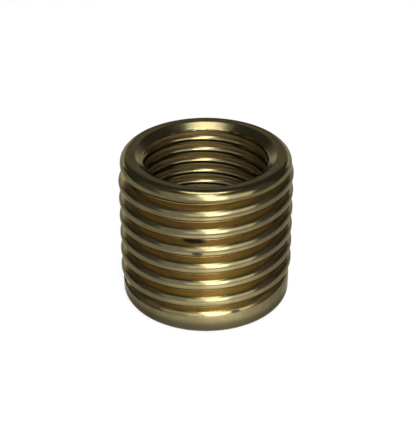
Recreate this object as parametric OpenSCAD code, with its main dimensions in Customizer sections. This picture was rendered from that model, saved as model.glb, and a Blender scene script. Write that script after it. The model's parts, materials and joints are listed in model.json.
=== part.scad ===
// Lamp thread reducer: a short turned brass tube with a coarse thread outside and a finer one inside.
// Z runs along the bore, the foot stands on Z = 0 and the front of the part faces -Y.

/* [Bore] */
// Diameter of the bore over the crests of its thread
bore_d = 8.95; // [7.5:0.05:11]
// Pitch of the inside thread
inside_pitch = 0.941; // [0.8:0.001:1.1]
// Depth of the inside thread, from crest to root
inside_depth = 0.36; // [0.3:0.01:0.55]
// Width of the flat at the inside thread's root
inside_root_w = 0.08; // [0.05:0.01:0.15]
// Height at which a groove of the inside thread crosses the front
inside_front_z = 1; // [0.5:0.01:1.4]

/* [Wall] */
// Length of the tube from foot to rim
tube_length = 11.7; // [9:0.1:16]
// Solid metal between the roots of the two threads
wall = 0.905; // [0.6:0.005:1.5]

/* [Outside thread] */
// Pitch of the outside thread
outside_pitch = 1.411; // [1.25:0.001:1.6]
// Depth of the outside thread, from crest to root
outside_depth = 0.66; // [0.55:0.01:0.78]
// Width of the flat at the outside thread's root
outside_root_w = 0.06; // [0.05:0.01:0.15]
// Radius of the rounded corners on the ridge's crest, as far as the crest's width allows
crest_round = 0.49; // [0.1:0.01:0.5]
// Height at which the lowest ridge crosses the front
outside_front_z = 1.45; // [1:0.01:2]
// Height above the foot's land, and below the rim's, at which the ridge starts to sink
run_out_h = 0.7; // [0.6:0.01:1.2]
// How far the sunken ends of the ridge lie below the surface of the lands
run_out_gap = 0.06; // [0.05:0.01:0.1]
// Angle between the two flanks of either thread
thread_angle = 60; // [50:1:65]

/* [Ends] */
// Setback of the plain lands at both ends from the crests of the outside thread
land_setback = 0.145; // [0.1:0.005:0.15]
// Height of the plain land under the rounded rim
rim_land = 0.1; // [0.08:0.01:0.8]
// Radius of the rounded outer edge at the rim
rim_round = 0.65; // [0.3:0.01:0.8]
// Height of the plain land above the rounded foot
foot_land = 0.75; // [0.4:0.01:1.5]
// Radius of the rounded outer edge at the foot
foot_round = 0.8; // [0.3:0.01:0.9]
// Width of the countersink round each mouth of the bore
countersink_w = 0.68; // [0.5:0.01:0.8]
// Included angle of the countersinks
countersink_angle = 120; // [90:1:130]

/* [Hidden] */
$fn = 96;
brass = [0.71, 0.63, 0.4];
// Facets in one turn of each thread
outside_steps = 36;
inside_steps = 28;
// Steps in the arc of a rounded edge and of a crest's corner
edge_steps = 12;
crest_steps = 3;
// How far a cutting shape runs past the surface that it cuts
overcut = 0.3;
// How far the ridge's flanks go on below the floor of the groove, and its root below them
flank_seat = 0.03;
ridge_seat = 0.2;
// Half of the flat that is left on a crest, at the least, between its rounded corners
least_flat = 0.01;
// How far each land's diameter is carried over the thread before it is cut
land_lap = 0.05;
// How far the cutter of the inside thread stands out of the bore's wall
groove_rise = 0.1;

flank = tan(thread_angle / 2);
bore_r = bore_d / 2;
inside_root_r = bore_r + inside_depth;
outside_root_r = inside_root_r + wall;
crest_r = outside_root_r + outside_depth;
land_r = crest_r - land_setback;
crest_w = outside_pitch - outside_root_w - 2 * outside_depth * flank;
mouth_r = bore_r + countersink_w;
countersink_depth = countersink_w / tan(countersink_angle / 2);
foot_land_top = foot_round + foot_land;
rim_land_low = tube_length - rim_round - rim_land;

// How far the ridge sinks at height z of its middle line, near the two lands
function run_out(z) =
    let (clear = min(z - foot_land_top, rim_land_low - z))
    (land_setback + run_out_gap) * max(0, min(1, (run_out_h - clear) / (run_out_h - crest_w / 2)));

// Points of one thread section [r, z], moved in by sink, raised to height z and carried round the axis by angle a
function turned(section, sink, z, a) =
    [for (p = section) [(p[0] - sink) * cos(a), (p[0] - sink) * sin(a), p[1] + z]];

// Solid swept along a right-handed helix, from height low to height high of its middle line
module helical_sweep(section, pitch, front_z, low, high, steps, sinks) {
    first = 360 * (low - front_z) / pitch - 90;
    last = 360 * (high - front_z) / pitch - 90;
    count = ceil((last - first) / 360 * steps);
    sides = len(section);
    points = [
        for (i = [0:count])
        let (a = first + (last - first) * i / count, z = front_z + pitch * (a + 90) / 360)
        each turned(section, sinks ? run_out(z) : 0, z, a)
    ];
    walls = [
        for (i = [0:count - 1], j = [0:sides - 1])
        let (k = (j + 1) % sides, here = i * sides, next = here + sides)
        each [[here + j, here + k, next + j], [here + k, next + k, next + j]]
    ];
    low_end = [for (j = [sides - 1:-1:0]) j];
    high_end = [for (j = [0:sides - 1]) count * sides + j];
    polyhedron(points, concat([low_end], walls, [high_end]));
}

// Arc of a rounded edge, from angle a to angle b
function edge_arc(centre_r, centre_z, radius, a, b, steps) =
    [
        for (i = [0:steps])
        let (t = a + (b - a) * i / steps)
        [centre_r + radius * cos(t), centre_z + radius * sin(t)]
    ];

// Outer form with its rounded foot and rim, left full between the lands, where the thread is cut
module outline() {
    full_r = crest_r + overcut;
    slope = full_r - land_r;
    full_low = foot_land_top + land_lap;
    full_high = rim_land_low - land_lap;
    rotate_extrude()
        polygon(concat(
            [[0, 0]],
            edge_arc(land_r - foot_round, foot_round, foot_round, -90, 0, edge_steps),
            [[land_r, full_low], [full_r, full_low + slope]],
            [[full_r, full_high - slope], [land_r, full_high]],
            edge_arc(land_r - rim_round, tube_length - rim_round, rim_round, 0, 90, edge_steps),
            [[0, tube_length]]
        ));
}

// Ridge of the outside thread, rooted below the groove's floor
module outside_ridge() {
    half_base = (outside_pitch - outside_root_w) / 2;
    seat_r = outside_root_r - flank_seat;
    half_seat = half_base + flank_seat * flank;
    corner_turn = 90 - thread_angle / 2;
    corner_share = tan(corner_turn / 2);
    corner_r = min(crest_round, (crest_w / 2 - least_flat) / corner_share);
    half_flat = crest_w / 2 - corner_r * corner_share;
    side = concat(
        [[seat_r - ridge_seat, half_seat], [seat_r, half_seat]],
        edge_arc(crest_r - corner_r, half_flat, corner_r, corner_turn, 0, crest_steps)
    );
    section = concat(
        [for (p = side) [p[0], -p[1]]],
        [for (i = [len(side) - 1:-1:0]) side[i]]
    );
    helical_sweep(section, outside_pitch, outside_front_z,
        foot_land_top - outside_pitch, rim_land_low + outside_pitch, outside_steps, true);
}

// Ring cleared between the two plain lands, all but the ridge
module thread_clearance() {
    difference() {
        rotate_extrude()
            polygon([
                [outside_root_r, foot_land_top],
                [crest_r + 2 * overcut, foot_land_top],
                [crest_r + 2 * overcut, rim_land_low],
                [outside_root_r, rim_land_low]
            ]);
        outside_ridge();
    }
}

// Bore with a countersink at each end
module bore() {
    past = overcut / tan(countersink_angle / 2);
    translate([0, 0, -overcut])
        cylinder(r = bore_r, h = tube_length + 2 * overcut);
    for (end = [0, 1])
        translate([0, 0, end * tube_length])
            mirror([0, 0, end])
                translate([0, 0, -past])
                    cylinder(r1 = mouth_r + overcut, r2 = bore_r, h = countersink_depth + past);
}

// Groove of the inside thread, open to the bore
module inside_groove() {
    half_root = inside_root_w / 2;
    half_mouth = half_root + (inside_depth + groove_rise) * flank;
    section = [
        [bore_r - groove_rise, -half_mouth],
        [inside_root_r, -half_root],
        [inside_root_r, half_root],
        [bore_r - groove_rise, half_mouth]
    ];
    helical_sweep(section, inside_pitch, inside_front_z,
        -inside_pitch, tube_length + inside_pitch, inside_steps, false);
}

module thread_reducer() {
    color(brass)
        difference() {
            outline();
            thread_clearance();
            bore();
            inside_groove();
        }
}

thread_reducer();
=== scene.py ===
"""Lamp thread reducer: a turned brass tube with a coarse thread outside and a finer one in its bore."""

import json
import math

import bmesh
import bpy
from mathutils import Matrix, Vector


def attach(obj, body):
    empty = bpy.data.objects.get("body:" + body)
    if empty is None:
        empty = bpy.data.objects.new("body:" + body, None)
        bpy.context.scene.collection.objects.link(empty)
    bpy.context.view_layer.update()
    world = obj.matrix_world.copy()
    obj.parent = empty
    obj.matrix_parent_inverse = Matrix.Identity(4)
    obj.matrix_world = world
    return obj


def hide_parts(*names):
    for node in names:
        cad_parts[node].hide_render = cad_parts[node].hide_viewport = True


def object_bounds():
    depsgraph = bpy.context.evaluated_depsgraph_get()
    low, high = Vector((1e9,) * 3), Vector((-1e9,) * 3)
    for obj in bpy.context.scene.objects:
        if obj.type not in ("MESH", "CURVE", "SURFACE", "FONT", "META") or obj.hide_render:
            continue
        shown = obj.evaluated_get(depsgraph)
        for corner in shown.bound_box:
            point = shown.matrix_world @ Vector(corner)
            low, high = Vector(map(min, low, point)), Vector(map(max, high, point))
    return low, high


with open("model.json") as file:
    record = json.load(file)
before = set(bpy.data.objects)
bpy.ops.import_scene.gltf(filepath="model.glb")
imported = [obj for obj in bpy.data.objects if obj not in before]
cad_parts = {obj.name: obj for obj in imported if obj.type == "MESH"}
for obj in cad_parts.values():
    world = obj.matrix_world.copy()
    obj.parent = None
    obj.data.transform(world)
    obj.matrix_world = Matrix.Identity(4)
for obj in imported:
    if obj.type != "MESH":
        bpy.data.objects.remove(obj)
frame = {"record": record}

bl_info = {
    "name": "Lamp Thread Reducer",
    "version": (1, 0, 0),
    "blender": (4, 5, 0),
    "location": "3D View > Sidebar > Reducer",
    "description": "Models a headless brass lamp thread reducer and the studio it stands in",
    "category": "Object",
}

MM = 0.001
NODE = "thread_reducer"
CAD_LOW, CAD_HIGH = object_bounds()
# Largest radius that stays inside the box of the CAD part
CAD_REACH = min(CAD_HIGH.x, CAD_HIGH.y, -CAD_LOW.x, -CAD_LOW.y)
MOUNTS = {mount["name"]: mount for mount in frame["record"]["mounts"]}
BORE_R_MM = MOUNTS["inside_thread"]["dims"]["r_mm"]

# Size of the photograph in pixels, and width of the camera's sensor in millimetres
IMAGE_W = 416
IMAGE_H = 447
SENSOR_W = 36

# Distances within which points are merged, lie on a cut and count as level
MERGE_GAP = 0.0005 * MM
CUT_GAP = 0.0001 * MM
LEVEL_GAP = 0.001 * MM
# Spare turns of thread below and above a wall, before it is cut off square
TURNS_BELOW = 2
TURNS_ABOVE = 1

# The finish fades between two places in millimetres, from none at the first to full at the second.
# Outwards from the inside root, where the outside takes over from the bore
WALL_MIDDLE = (0.3, 0.5)
# Inwards from the outside crests, and away from the nearer end
OUTER_GROOVE = (0.14, 0.34)
OUTER_ENDS = (0.7, 0.8)
# Outwards from the inside crests, and away from the nearer end
INNER_GROOVE = (0.08, 0.3)
INNER_ENDS = (0.35, 0.45)
# Down the axis to the foot, which is darkened there by painted shade
FOOT_SHADE = (1.35, 0.8)
# Towards the front, which has the smudges
FRONT_HALF = (0, -1)

# Noises of the finish: scale per millimetre, detail and roughness
MOTTLE_NOISE = (0.9, 4.0, 0.6)
SPECK_NOISE = (3.0, 2.0, 0.5)
TURNING_NOISE = (1.0, 3.0, 0.6)
# Levels of noise between which tarnish and specks come in
TARNISH_LEVELS = (0.42, 0.68)
SPECK_LEVELS = (0.5, 0.8)
# How fast the turning marks change across the tube, along its axis and outwards from it
TURNING_ACROSS = 0.2
TURNING_ALONG = 9
TURNING_OUT = 6

# Smudges on the front: centre (x, z) and half size in millimetres
SMUDGES = (
    ((-0.87, 7.71), (0.85, 0.13)),
    ((-0.6, 7.0), (0.4, 0.14)),
    ((2.12, 1.82), (0.35, 0.1)),
)
# Patches of the floor that glow brighter in reflections only, a painted pool of light: centre (x, y),
# half size in millimetres and share
FLOOR_PATCHES = (
    ((4, -16), (13, 10), 0.42),
    ((2.5, -16), (3.5, 8), 0.58),
)
# Squared distances, in half sizes, at which an oval starts to fade and at which it has gone
SMUDGE_EDGE = (0.3, 1.6)
PATCH_EDGE = (0, 2)

# A Mix node's two colours and its mixed colour, by number, as its other sockets have the same names
MIX_FIRST = "n6"
MIX_SECOND = "n7"
MIX_RESULT = 2

FLOOR_SIZE = 1.5
WHITE = (1, 1, 1, 1)
PAPER = (0.85, 0.85, 0.85, 1)
# Share of even white in the floor as the camera and the metal see it; the rest shows the shadow
FLOOR_WHITE = 0.8

# Lamps: name, (azimuth, elevation) in degrees, distance, width and height in metres, setting
LAMPS = (
    ("low_strip", (12, 22), 0.22, 0.1, 0.17, "strip_light"),
    ("high_strip", (2, 58), 0.22, 0.065, 0.12, "strip_light"),
    ("top", (0, 90), 0.22, 0.1, 0.05, "top_light"),
    ("glow", (18, 22), 0.24, 0.42, 0.17, "glow_light"),
    ("front", (0, 30), 0.3, 0.9, 0.36, "front_light"),
    ("rear", (180, 30), 0.25, 0.24, 0.08, "rear_light"),
    ("left_panel", (-75, 30), 0.25, 0.2, 0.25, "side_light"),
    ("left_back_panel", (-150, 10), 0.25, 0.16, 0.08, "back_light"),
    ("right_panel", (75, 30), 0.25, 0.2, 0.25, "side_light"),
    ("right_back_panel", (150, 10), 0.25, 0.16, 0.08, "back_light"),
)


def length_prop(label, about, millimetres):
    """A size in metres that the sidebar shows as a length."""
    return bpy.props.FloatProperty(
        name=label,
        description=about,
        default=millimetres * MM,
        unit="LENGTH",
        precision=5,
    )


def angle_prop(label, about, degrees):
    """An angle that the sidebar shows in degrees."""
    return bpy.props.FloatProperty(
        name=label,
        description=about,
        default=math.radians(degrees),
        subtype="ANGLE",
    )


def number_prop(label, about, value):
    """A plain number."""
    return bpy.props.FloatProperty(name=label, description=about, default=value, precision=4)


def count_prop(label, about, value):
    """A whole number of steps."""
    return bpy.props.IntProperty(name=label, description=about, default=value, min=3)


def colour_prop(label, about, colour):
    """A linear colour."""
    return bpy.props.FloatVectorProperty(
        name=label,
        description=about,
        default=colour,
        subtype="COLOR",
        size=3,
        min=0.0,
        max=1.0,
    )


class ReducerSizes(bpy.types.PropertyGroup):
    """Sizes of the turned tube and its two threads."""

    tube_length: length_prop("Length", "Height from foot to rim", (CAD_HIGH.z - CAD_LOW.z) / MM)
    crest_r: length_prop("Crest radius", "Radius over the outside crests", CAD_REACH / MM)
    bore_r: length_prop("Bore radius", "Radius over the inside crests", BORE_R_MM)
    thread_angle: angle_prop("Thread angle", "Angle between the flanks of either thread", 60)

    outside_pitch: length_prop("Outside pitch", "Rise of the outside thread in one turn", 1.411)
    outside_depth: length_prop("Outside depth", "Depth of the outside thread", 0.66)
    outside_root_w: length_prop("Outside root", "Width of the flat at the outside root", 0.06)
    outside_front_z: length_prop("Outside start", "Height of the lowest ridge at the front", 1.45)
    crest_round: length_prop("Crest rounding", "Radius on the corners of the outside crests", 0.49)

    inside_pitch: length_prop("Inside pitch", "Rise of the inside thread in one turn", 0.941)
    inside_depth: length_prop("Inside depth", "Depth of the inside thread", 0.36)
    inside_root_w: length_prop("Inside root", "Width of the flat at the inside root", 0.08)
    inside_front_z: length_prop("Inside start", "Height of a groove in the bore at the front", 1)
    inside_round: length_prop("Inside rounding", "Radius on the corners of the inside crests", 0.38)

    land_setback: length_prop("Land setback", "Setback of the plain lands from the crests", 0.145)
    run_out_h: length_prop("Run-out", "Height next to a land at which the ridge starts to sink", 0.7)
    shoulder_rise: length_prop("Shoulder rise", "Height of the slope up to each land", 0.06)
    land_edge: length_prop("Land edge", "Height of the ring that keeps a land's shading plain", 0.02)
    rim_land: length_prop("Rim land", "Height of the plain land under the rim", 0.1)
    rim_round: length_prop("Rim rounding", "Radius of the outer edge at the rim", 0.65)
    foot_land: length_prop("Foot land", "Height of the plain land above the foot", 0.75)
    foot_round: length_prop("Foot rounding", "Radius of the outer edge at the foot", 0.8)
    countersink_w: length_prop("Countersink", "Width of the countersink round each mouth", 0.68)
    countersink_angle: angle_prop("Countersink angle", "Included angle of the countersinks", 120)
    mouth_edge: length_prop("Mouth edge", "Radius on the edge of each countersink", 0.25)
    sharp_angle: angle_prop("Sharp angle", "Angle from which an edge is shaded as a sharp one", 35)
    face_margin: length_prop("Face margin", "Width of the end faces' outer ring", 0.1)

    outside_steps: count_prop("Outside steps", "Steps in one turn of the outside thread", 192)
    inside_steps: count_prop("Inside steps", "Steps in one turn of the inside thread", 160)
    arc_steps: count_prop("Arc steps", "Steps in each rounded corner", 8)


class BrassFinish(bpy.types.PropertyGroup):
    """Colours and surface of the aged brass."""

    brass: colour_prop("Brass", "Rubbed metal on the crests and the ends", (0.13, 0.11, 0.055))
    amber: colour_prop("Amber", "Metal in the outside grooves", (0.26, 0.195, 0.083))
    inside: colour_prop("Inside", "Metal in the grooves of the bore", (0.4, 0.3, 0.13))
    tarnish: colour_prop("Tarnish", "Oxide film on the rubbed metal", (0.1, 0.083, 0.041))
    # Colour of the dirt specks and smudges, also used for the painted shade at the foot
    grime: colour_prop("Grime", "Dirt in grooves, smudges and foot", (0.03, 0.024, 0.014))
    edge: colour_prop("Edge", "Tint of the metal seen at a low angle", (0.58, 0.56, 0.53))
    tarnish_share: number_prop("Tarnish share", "How far tarnish covers the rubbed metal", 0.6)
    speck_share: number_prop("Speck share", "How far specks cover the outside grooves", 0.2)
    # How far painted shade, in the grime colour, darkens the foot
    foot_share: number_prop("Foot share", "How far dirt covers the foot", 0.7)
    roughness: number_prop("Roughness", "Roughness of the clean metal", 0.15)
    mottle_rough: number_prop("Mottle roughness", "Roughness that the mottling adds", 0.06)
    tarnish_rough: number_prop("Tarnish roughness", "Roughness that tarnish adds", 0.1)
    # Roughness added by the dirt specks, the smudges and the painted shade at the foot
    dirt_rough: number_prop("Dirt roughness", "Roughness that dirt adds", 0.25)
    bore_rough: number_prop("Bore roughness", "Roughness that the grooves of the bore add", 0.2)
    turning_strength: number_prop("Turning marks", "Strength of the turning marks", 0.06)
    turning_depth: length_prop("Turning depth", "Depth of the turning marks", 0.02)


class StudioSettings(bpy.types.PropertyGroup):
    """Camera, lamps and floor."""

    elevation: angle_prop("Elevation", "Height of the camera above the horizon", 30.5)
    distance: length_prop("Distance", "Distance from the camera to the point it looks at", 96.2)
    aim_x: length_prop("Aim across", "Sideways place of the point that the camera looks at", 0.15)
    aim_z: length_prop("Aim height", "Height of the point that the camera looks at", 5.75)
    focal_px: number_prop("Focal length", "Focal length in pixels of the photograph", 1292.6)
    strip_light: number_prop("Strips", "Radiance of the low and the high strip in front", 9.5)
    top_light: number_prop("Top", "Radiance of the lamp overhead", 12)
    side_light: number_prop("Sides", "Radiance of the two side panels", 0.15)
    back_light: number_prop("Back", "Radiance of the two low panels behind", 1.6)
    glow_light: number_prop("Glow", "Radiance of the wide panel behind the low strip", 2.1)
    front_light: number_prop("Front", "Radiance of the broad panel in front", 1)
    rear_light: number_prop("Rear", "Radiance of the broad panel behind", 0.4)
    # Strength of the painted glow of the floor patch in front, which is seen only in reflections
    patch_light: number_prop("Patch", "Radiance of the bright floor in front, in reflections", 6)
    world_light: number_prop("Room", "Radiance of the room round the stage", 0.12)


def add_object(scene, name, data):
    """A new object at the origin of the scene."""
    made = bpy.data.objects.new(name, data)
    scene.collection.objects.link(made)
    return made


def rounded_path(corners, steps):
    """Points (r, z) of a path whose corners (r, z, radius) are rounded by arcs."""
    points = [Vector(corners[0][:2])]
    for before, corner, after in zip(corners, corners[1:], corners[2:]):
        middle = Vector(corner[:2])
        back = (Vector(before[:2]) - middle).normalized()
        ahead = (Vector(after[:2]) - middle).normalized()
        radius = corner[2]
        if radius == 0:
            points.append(middle)
            continue
        half = back.angle(ahead) / 2
        centre = middle + (back + ahead).normalized() * (radius / math.sin(half))
        start = middle + back * (radius / math.tan(half)) - centre
        end = middle + ahead * (radius / math.tan(half)) - centre
        turn = start.angle(end)
        for i in range(steps + 1):
            t = i / steps
            arm = start * math.sin((1 - t) * turn) + end * math.sin(t * turn)
            points.append(centre + arm / math.sin(turn))
    points.append(Vector(corners[-1][:2]))
    return points


def ridge_half_widths(pitch, root_w, depth, angle):
    """Half of a ridge's width at its base, and across its crest before rounding."""
    half_base = (pitch - root_w) / 2
    return half_base, half_base - depth * math.tan(angle / 2)


def ridge_rows(pitch, root_w, depth, angle, crest_round, steps):
    """One pitch of a thread as (offset, height) rows, from one root's middle to just before the next."""
    half_base, half_crest = ridge_half_widths(pitch, root_w, depth, angle)
    corners = [
        (-pitch / 2, 0, 0),
        (-half_base, 0, 0),
        (-half_crest, depth, crest_round),
        (half_crest, depth, crest_round),
        (half_base, 0, 0),
        (pitch / 2, 0, 0),
    ]
    return rounded_path(corners, steps)[:-1]


def helical_wall(bm, rows, pitch, front_z, low, high, steps):
    """Open wall with a right-handed thread, cut off square at heights low and high."""
    start_z = front_z - pitch / 2
    first = math.floor((low - start_z) / pitch) - TURNS_BELOW
    last = math.ceil((high - start_z) / pitch) + TURNS_ABOVE
    column = []
    for turn in range(first, last + 1):
        for offset, radius in rows:
            column.append(bm.verts.new((0, radius, start_z + turn * pitch + offset)))
    edges = [bm.edges.new(pair) for pair in zip(column, column[1:])]
    bmesh.ops.spin(
        bm,
        geom=column + edges,
        cent=(0, 0, 0),
        axis=(0, 0, 1),
        dvec=(0, 0, pitch / steps),
        angle=math.tau,
        steps=steps,
        use_merge=False,
        use_duplicate=False,
    )
    bmesh.ops.remove_doubles(bm, verts=bm.verts, dist=MERGE_GAP)
    for height, inner in ((low, True), (high, False)):
        bmesh.ops.bisect_plane(
            bm,
            geom=bm.verts[:] + bm.edges[:] + bm.faces[:],
            dist=CUT_GAP,
            plane_co=(0, 0, height),
            plane_no=(0, 0, 1),
            clear_inner=inner,
            clear_outer=not inner,
        )


def reshape(bm, radius_at):
    """Moves each point to radius_at(its radius, its turn from the front, its height)."""
    for vert in bm.verts:
        radius = vert.co.xy.length
        turn = math.atan2(vert.co.x, -vert.co.y) / math.tau
        scale = radius_at(radius, turn, vert.co.z) / radius
        vert.co.x *= scale
        vert.co.y *= scale


def rim_loop(bm, height):
    """Open edges that lie at one height."""
    loop = []
    for edge in bm.edges:
        level = all(abs(vert.co.z - height) < LEVEL_GAP for vert in edge.verts)
        if edge.is_boundary and level:
            loop.append(edge)
    if not loop:
        raise RuntimeError(f"no open rim at height {height / MM:.3f} mm")
    return loop


def turn_path(bm, loop, path):
    """Carries an open rim along a path of (r, z) points."""
    for radius, height in path:
        made = bmesh.ops.extrude_edge_only(bm, edges=loop)["geom"]
        loop = [item for item in made if isinstance(item, bmesh.types.BMEdge)]
        for vert in made:
            if isinstance(vert, bmesh.types.BMVert):
                flat = vert.co.xy.normalized() * radius
                vert.co = (flat.x, flat.y, height)


def outside_wall(sizes):
    """The outside thread with its lands, its rounded ends and the outer ring of each end face."""
    bm = bmesh.new()
    land_r = sizes.crest_r - sizes.land_setback
    root_r = sizes.crest_r - sizes.outside_depth
    top = sizes.tube_length
    foot_top = sizes.foot_round + sizes.foot_land
    rim_low = top - sizes.rim_round - sizes.rim_land
    pitch = sizes.outside_pitch
    front_z = sizes.outside_front_z
    ridge = (pitch, sizes.outside_root_w, sizes.outside_depth, sizes.thread_angle)
    half_crest = ridge_half_widths(*ridge)[1]
    rows = [
        (offset, root_r + height)
        for offset, height in ridge_rows(*ridge, sizes.crest_round, sizes.arc_steps)
    ]
    helical_wall(bm, rows, pitch, front_z, foot_top, rim_low, sizes.outside_steps)

    def run_out(radius, turn, height):
        """Radius of a point once the ridge has sunk to the lands at both ends."""
        pitches = (height - front_z) / pitch - turn
        middle = height - (pitches - round(pitches)) * pitch
        clear = min(middle - foot_top, rim_low - middle)
        share = max(0, min(1, (sizes.run_out_h - clear) / (sizes.run_out_h - half_crest)))
        sink = sizes.land_setback * share
        return radius - sink * (radius - root_r) / sizes.outside_depth

    reshape(bm, run_out)
    ends = (
        (foot_top, 0, sizes.foot_round),
        (rim_low, top, sizes.rim_round),
    )
    for shoulder, face, edge_round in ends:
        way = math.copysign(1, face - shoulder)
        corners = [
            (land_r, shoulder + way * sizes.shoulder_rise, 0),
            (land_r, shoulder + way * (sizes.shoulder_rise + sizes.land_edge), 0),
            (land_r, face, edge_round),
            (land_r - edge_round - sizes.face_margin, face, 0),
        ]
        turn_path(bm, rim_loop(bm, shoulder), rounded_path(corners, sizes.arc_steps))
    return bm


def inside_wall(sizes):
    """The inside thread, opened out by a countersink with a rounded edge at each mouth."""
    bm = bmesh.new()
    root_r = sizes.bore_r + sizes.inside_depth
    top = sizes.tube_length
    mouth_r = sizes.bore_r + sizes.countersink_w
    slope = math.tan(sizes.countersink_angle / 2)
    lip = sizes.mouth_edge / 2
    low = lip / slope
    pitch = sizes.inside_pitch
    ridge_z = sizes.inside_front_z + pitch / 2
    ridge = (pitch, sizes.inside_root_w, sizes.inside_depth, sizes.thread_angle)
    rows = [
        (offset, root_r - height)
        for offset, height in ridge_rows(*ridge, sizes.inside_round, sizes.arc_steps)
    ]
    helical_wall(bm, rows, pitch, ridge_z, low, top - low, sizes.inside_steps)

    def countersunk(radius, turn, height):
        """Radius of a point once both mouths are opened out."""
        return max(radius, mouth_r - min(height, top - height) * slope)

    reshape(bm, countersunk)
    for cut, face in ((low, 0), (top - low, top)):
        corners = [
            (mouth_r - lip, cut, 0),
            (mouth_r, face, sizes.mouth_edge),
            (mouth_r + lip, face, 0),
        ]
        turn_path(bm, rim_loop(bm, cut), rounded_path(corners, sizes.arc_steps)[1:])
    return bm


def join_walls(outer, inner, sizes):
    """One closed shell made of the two walls, joined across the flat faces of the foot and the rim."""
    shell = outer
    spare = bpy.data.meshes.new("inside_wall")
    inner.to_mesh(spare)
    inner.free()
    shell.from_mesh(spare)
    bpy.data.meshes.remove(spare)
    open_edges = [edge for edge in shell.edges if edge.is_boundary]
    middle = sizes.tube_length / 2
    for upper in (False, True):
        pair = [edge for edge in open_edges if (edge.verts[0].co.z > middle) == upper]
        bmesh.ops.triangle_fill(shell, use_beauty=True, edges=pair)
    bmesh.ops.recalc_face_normals(shell, faces=shell.faces)
    for face in shell.faces:
        face.smooth = True
    loose = [edge for edge in shell.edges if not edge.is_manifold]
    if loose:
        raise RuntimeError(f"the shell has {len(loose)} open edges")
    return shell


class Shade:
    """A material's node tree, with one method that makes its nodes."""

    def __init__(self, tree):
        self.tree = tree

    def feed(self, node, **sockets):
        """Gives a node's sockets values or links, by name with _ for a space, or by number as n0."""
        for key, value in sockets.items():
            numbered = key[0] == "n" and key[1:].isdigit()
            socket = node.inputs[int(key[1:]) if numbered else key.replace("_", " ")]
            if isinstance(value, Wire):
                self.tree.links.new(value.socket, socket)
            else:
                socket.default_value = value

    def node(self, kind, settings=None, **sockets):
        """A new node with its settings set first, then its sockets."""
        made = self.tree.nodes.new(kind)
        for key, value in (settings or {}).items():
            setattr(made, key, value)
        self.feed(made, **sockets)
        return made

    def wire(self, node, output=0):
        """The output of a node as a value for sums."""
        return Wire(self, node.outputs[output])


class Wire:
    """A socket in a sum: each operator adds a Math node."""

    def __init__(self, shade, socket):
        self.shade = shade
        self.socket = socket

    def math(self, operation, *others):
        """This value and others through one Math node."""
        sockets = {f"n{i}": value for i, value in enumerate((self, *others))}
        return self.shade.wire(self.shade.node("ShaderNodeMath", {"operation": operation}, **sockets))

    def __add__(self, other):
        return self.math("ADD", other)

    __radd__ = __add__

    def __mul__(self, other):
        return self.math("MULTIPLY", other)

    __rmul__ = __mul__

    def __sub__(self, other):
        return self.math("SUBTRACT", other)

    def __rsub__(self, other):
        return (self * -1) + other

    def __truediv__(self, other):
        return self.math("DIVIDE", other)

    def fade(self, start, end):
        """0 at start and 1 at end, eased between them."""
        node = self.shade.node(
            "ShaderNodeMapRange",
            {"interpolation_type": "SMOOTHSTEP"},
            Value=self,
            From_Min=start,
            From_Max=end,
        )
        return self.shade.wire(node)


def new_material(name):
    """A material with nodes, and its Shade."""
    material = bpy.data.materials.new(name)
    material.use_nodes = True
    return material, Shade(material.node_tree)


def place_in_mm(shade):
    """The place on the object in millimetres, as one vector and as x, y and z."""
    place = shade.wire(shade.node("ShaderNodeTexCoord"), "Object")
    in_mm = shade.node("ShaderNodeVectorMath", {"operation": "SCALE"}, Vector=place, Scale=1 / MM)
    vector = shade.wire(in_mm)
    split = shade.node("ShaderNodeSeparateXYZ", None, Vector=vector)
    return vector, [shade.wire(split, axis) for axis in "XYZ"]


def noise(shade, vector, scale, detail, roughness):
    """Noise from 0 to 1 on a vector in millimetres."""
    node = shade.node(
        "ShaderNodeTexNoise",
        None,
        Vector=vector,
        Scale=scale,
        Detail=detail,
        Roughness=roughness,
    )
    return shade.wire(node)


def mix_colour(shade, amount, first, second):
    """First colour at 0, second at 1."""
    colours = {}
    for socket, colour in ((MIX_FIRST, first), (MIX_SECOND, second)):
        colours[socket] = colour if isinstance(colour, Wire) else (*colour, 1)
    node = shade.node("ShaderNodeMix", {"data_type": "RGBA"}, Factor=amount, **colours)
    return shade.wire(node, MIX_RESULT)


def oval(x, y, centre, size, edge):
    """Soft oval, 1 in its middle and 0 outside, placed by its centre and half size in millimetres."""
    across = (x - centre[0]) / size[0]
    up = (y - centre[1]) / size[1]
    return (across * across + up * up).fade(edge[1], edge[0])


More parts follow.
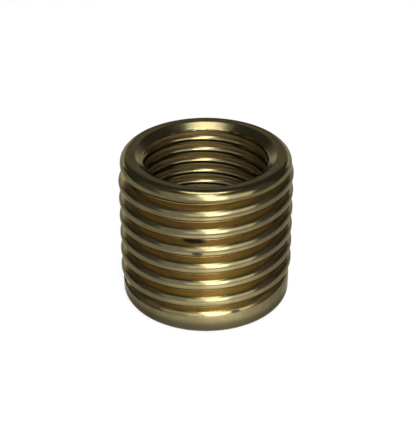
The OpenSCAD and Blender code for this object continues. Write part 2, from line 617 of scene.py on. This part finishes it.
def brass_material(sizes, finish):
    """Aged brass: rubbed on the crests, amber in the grooves, with fine turning marks, smudges and
    painted shade at the foot.
    """
    material, shade = new_material("aged_brass")
    vector, (x, y, z) = place_in_mm(shade)
    radius = (x * x + y * y).math("SQRT")

    crest_r = sizes.crest_r / MM
    bore_r = sizes.bore_r / MM
    inner_root_r = bore_r + sizes.inside_depth / MM
    from_end = z.math("MINIMUM", sizes.tube_length / MM - z)
    outside = radius.fade(*(inner_root_r + rise for rise in WALL_MIDDLE))
    outer_groove = radius.fade(*(crest_r - depth for depth in OUTER_GROOVE)) * outside
    outer_groove = outer_groove * from_end.fade(*OUTER_ENDS)
    inner_groove = radius.fade(*(bore_r + depth for depth in INNER_GROOVE)) * (1 - outside)
    inner_groove = inner_groove * from_end.fade(*INNER_ENDS)

    mottle = noise(shade, vector, *MOTTLE_NOISE)
    specks = noise(shade, vector, *SPECK_NOISE)
    turning_place = shade.node(
        "ShaderNodeCombineXYZ",
        None,
        X=x * TURNING_ACROSS,
        Y=y * TURNING_ACROSS,
        Z=z * TURNING_ALONG + radius * TURNING_OUT,
    )
    turning = noise(shade, shade.wire(turning_place), *TURNING_NOISE)
    smudges = sum(oval(x, z, centre, size, SMUDGE_EDGE) for centre, size in SMUDGES)

    tarnish = mottle.fade(*TARNISH_LEVELS) * finish.tarnish_share
    rubbed = mix_colour(shade, tarnish, finish.brass, finish.tarnish)
    metal = mix_colour(shade, outer_groove, rubbed, finish.amber)
    metal = mix_colour(shade, inner_groove, metal, finish.inside)
    dirt_and_shade = specks.fade(*SPECK_LEVELS) * outer_groove * finish.speck_share
    # Painted shade: the foot grows darker towards the bottom in the grime colour, added to the specks
    # and smudges
    dirt_and_shade = dirt_and_shade + z.fade(*FOOT_SHADE) * finish.foot_share + smudges * y.fade(*FRONT_HALF)
    dirt_and_shade = dirt_and_shade.math("MINIMUM", 1)
    roughness = (
        finish.roughness
        + finish.mottle_rough * mottle
        + finish.tarnish_rough * tarnish
        + finish.dirt_rough * dirt_and_shade
        + finish.bore_rough * inner_groove
    )
    bump = shade.node(
        "ShaderNodeBump",
        None,
        Strength=finish.turning_strength,
        Distance=finish.turning_depth,
        Height=turning,
    )
    shade.feed(
        material.node_tree.nodes["Principled BSDF"],
        Base_Color=mix_colour(shade, dirt_and_shade, metal, finish.grime),
        Roughness=roughness,
        Normal=shade.wire(bump),
        Metallic=1,
        Specular_Tint=(*finish.edge, 1),
    )
    return material


class REDUCER_OT_body(bpy.types.Operator):
    """Model the threaded brass tube"""

    bl_idname = "reducer.body"
    bl_label = "Threaded Tube"

    def execute(self, context):
        sizes = context.scene.reducer_sizes
        shell = join_walls(outside_wall(sizes), inside_wall(sizes), sizes)
        mesh = bpy.data.meshes.new("threaded_tube")
        shell.to_mesh(mesh)
        shell.free()
        mesh.set_sharp_from_angle(angle=sizes.sharp_angle)
        mesh.materials.append(brass_material(sizes, context.scene.reducer_finish))
        tube = add_object(context.scene, "threaded_tube", mesh)
        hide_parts(NODE)
        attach(tube, "root")
        return {"FINISHED"}


def floor_material(studio):
    """White floor that keeps the object's shadow, with a patch in front that glows brighter in
    reflections only, as a painted pool of light.
    """
    material, shade = new_material("white_floor")
    paths = shade.node("ShaderNodeLightPath")
    mirrored = shade.wire(paths, "Is Glossy Ray")
    seen = shade.wire(paths, "Is Camera Ray") + mirrored + shade.wire(paths, "Is Transmission Ray")
    x, y, _ = place_in_mm(shade)[1]
    # Painted pool of light: the patch in front glows brighter, but only for glossy rays
    patch = sum(
        oval(x, y, centre, size, PATCH_EDGE) * share
        for centre, size, share in FLOOR_PATCHES
    )
    white = shade.node("ShaderNodeEmission", None, Color=WHITE, Strength=1)
    painted_glow = shade.node("ShaderNodeEmission", None, Color=WHITE, Strength=studio.patch_light)
    glow = shade.node(
        "ShaderNodeMixShader",
        None,
        n0=patch * mirrored,
        n1=shade.wire(white),
        n2=shade.wire(painted_glow),
    )
    paper = shade.node("ShaderNodeBsdfDiffuse", None, Color=PAPER)
    mixed = shade.node(
        "ShaderNodeMixShader",
        None,
        n0=seen.math("MINIMUM", 1) * FLOOR_WHITE,
        n1=shade.wire(paper),
        n2=shade.wire(glow),
    )
    shade.feed(material.node_tree.nodes["Material Output"], Surface=shade.wire(mixed))
    return material


def add_floor(scene, studio):
    """The floor under the tube."""
    bm = bmesh.new()
    bmesh.ops.create_grid(bm, x_segments=1, y_segments=1, size=FLOOR_SIZE)
    mesh = bpy.data.meshes.new("floor")
    bm.to_mesh(mesh)
    bm.free()
    mesh.materials.append(floor_material(studio))
    floor = add_object(scene, "floor", mesh)


def add_lamp(scene, name, direction, distance, width, height, radiance):
    """Rectangular lamp that faces the origin from an (azimuth, elevation) direction."""
    azimuth, elevation = (math.radians(value) for value in direction)
    lamp = bpy.data.lights.new(name, "AREA")
    lamp.shape = "RECTANGLE"
    lamp.size = width
    lamp.size_y = height
    lamp.energy = radiance * math.pi * width * height
    out = Vector((
        math.sin(azimuth) * math.cos(elevation),
        -math.cos(azimuth) * math.cos(elevation),
        math.sin(elevation),
    ))
    panel = add_object(scene, name, lamp)
    panel.location = out * distance
    panel.rotation_euler = out.to_track_quat("Z", "Y").to_euler()


def add_room(scene, studio):
    """Even white light from the room round the stage."""
    world = bpy.data.worlds.new("room")
    world.use_nodes = True
    room = world.node_tree.nodes["Background"]
    room.inputs["Color"].default_value = WHITE
    room.inputs["Strength"].default_value = studio.world_light
    scene.world = world


def add_camera(scene, studio):
    """The camera in the photograph's place."""
    settings = bpy.data.cameras.new("camera")
    settings.sensor_width = SENSOR_W
    settings.lens = studio.focal_px / max(IMAGE_W, IMAGE_H) * SENSOR_W
    settings.clip_start = MM
    back = Vector((0, -math.cos(studio.elevation), math.sin(studio.elevation)))
    camera = add_object(scene, "camera", settings)
    camera.location = Vector((studio.aim_x, 0, studio.aim_z)) + back * studio.distance
    camera.rotation_euler = back.to_track_quat("Z", "Y").to_euler()
    scene.camera = camera


class REDUCER_OT_stage(bpy.types.Operator):
    """Set up the floor, the lamps and the camera"""

    bl_idname = "reducer.stage"
    bl_label = "Studio Stage"

    def execute(self, context):
        scene = context.scene
        studio = scene.reducer_studio
        add_floor(scene, studio)
        for *placing, setting in LAMPS:
            add_lamp(scene, *placing, getattr(studio, setting))
        add_room(scene, studio)
        add_camera(scene, studio)
        scene.view_settings.view_transform = "Standard"
        return {"FINISHED"}


class REDUCER_PT_panel(bpy.types.Panel):
    """Sidebar panel with the tube, its finish and the stage"""

    bl_idname = "REDUCER_PT_panel"
    bl_label = "Lamp Thread Reducer"
    bl_space_type = "VIEW_3D"
    bl_region_type = "UI"
    bl_category = "Reducer"

    def draw(self, context):
        for operator in (REDUCER_OT_body, REDUCER_OT_stage):
            self.layout.operator(operator.bl_idname)
        for name in SETTINGS:
            group = getattr(context.scene, name)
            box = self.layout.box()
            for key in group.__annotations__:
                box.prop(group, key)


SETTINGS = {
    "reducer_sizes": ReducerSizes,
    "reducer_finish": BrassFinish,
    "reducer_studio": StudioSettings,
}
CLASSES = (*SETTINGS.values(), REDUCER_OT_body, REDUCER_OT_stage, REDUCER_PT_panel)


def register():
    for item in CLASSES:
        bpy.utils.register_class(item)
    for name, group in SETTINGS.items():
        setattr(bpy.types.Scene, name, bpy.props.PointerProperty(type=group))


def unregister():
    for name in SETTINGS:
        delattr(bpy.types.Scene, name)
    for item in reversed(CLASSES):
        bpy.utils.unregister_class(item)


def main():
    register()
    bpy.ops.reducer.body()
    bpy.ops.reducer.stage()


if __name__ == "__main__":
    main()
